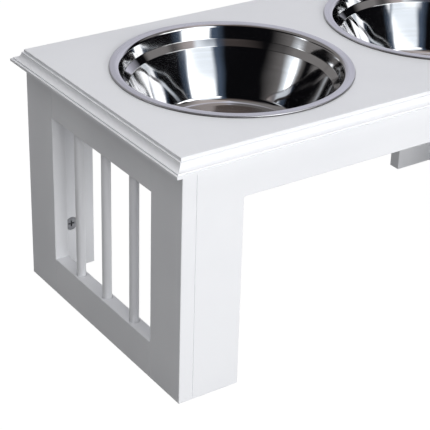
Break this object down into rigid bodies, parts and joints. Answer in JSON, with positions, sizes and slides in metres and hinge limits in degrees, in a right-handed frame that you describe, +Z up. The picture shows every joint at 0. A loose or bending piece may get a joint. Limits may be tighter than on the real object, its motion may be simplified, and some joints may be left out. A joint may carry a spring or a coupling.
{
  "type": "elevated dog bowl stand",
  "caption": "Low white table with a moulded top, spindled end frames and arched long sides that holds lift-out steel bowls at feeding height for a dog.",
  "frame": {"origin": "on the floor under the middle of the stand", "axes": "+X along the stand to the right, +Y from front to back, +Z up"},
  "size_m": [0.584, 0.305, 0.2562],
  "materials": {
    "white_paint": "satin white paint on board",
    "bowl_steel": "polished inside, satin rim",
    "fitting_zinc": "bright zinc plate",
    "dowel_beech": "bare beech"
  },
  "bodies": {
    "stand": {"top_board": "white_paint", "left_front_stile": "white_paint", "left_rear_stile": "white_paint", "left_top_rail": "white_paint", "left_bottom_rail": "white_paint", "left_front_spindle": "white_paint", "left_middle_spindle": "white_paint", "left_rear_spindle": "white_paint", "right_front_stile": "white_paint", "right_rear_stile": "white_paint", "right_top_rail": "white_paint", "right_bottom_rail": "white_paint", "right_front_spindle": "white_paint", "right_middle_spindle": "white_paint", "right_rear_spindle": "white_paint", "front_panel": "white_paint", "back_panel": "white_paint", "front_cam_locks": "fitting_zinc", "front_cam_bolts": "fitting_zinc", "front_dowels": "dowel_beech", "back_cam_locks": "fitting_zinc", "back_cam_bolts": "fitting_zinc", "back_dowels": "dowel_beech", "top_cam_bolts": "fitting_zinc", "top_dowels": "dowel_beech", "left_corner_pegs": "dowel_beech", "right_corner_pegs": "dowel_beech"},
    "left_bowl": {"left_bowl": "bowl_steel"},
    "right_bowl": {"right_bowl": "bowl_steel"}
  },
  "joints": [
    {"name": "left_bowl_lift", "type": "slide", "parent": "stand", "child": "left_bowl", "axis": [0, 0, 1], "range_m": [0, 0.1]},
    {"name": "right_bowl_lift", "type": "slide", "parent": "stand", "child": "right_bowl", "axis": [0, 0, 1], "range_m": [0, 0.1]}
  ]
}
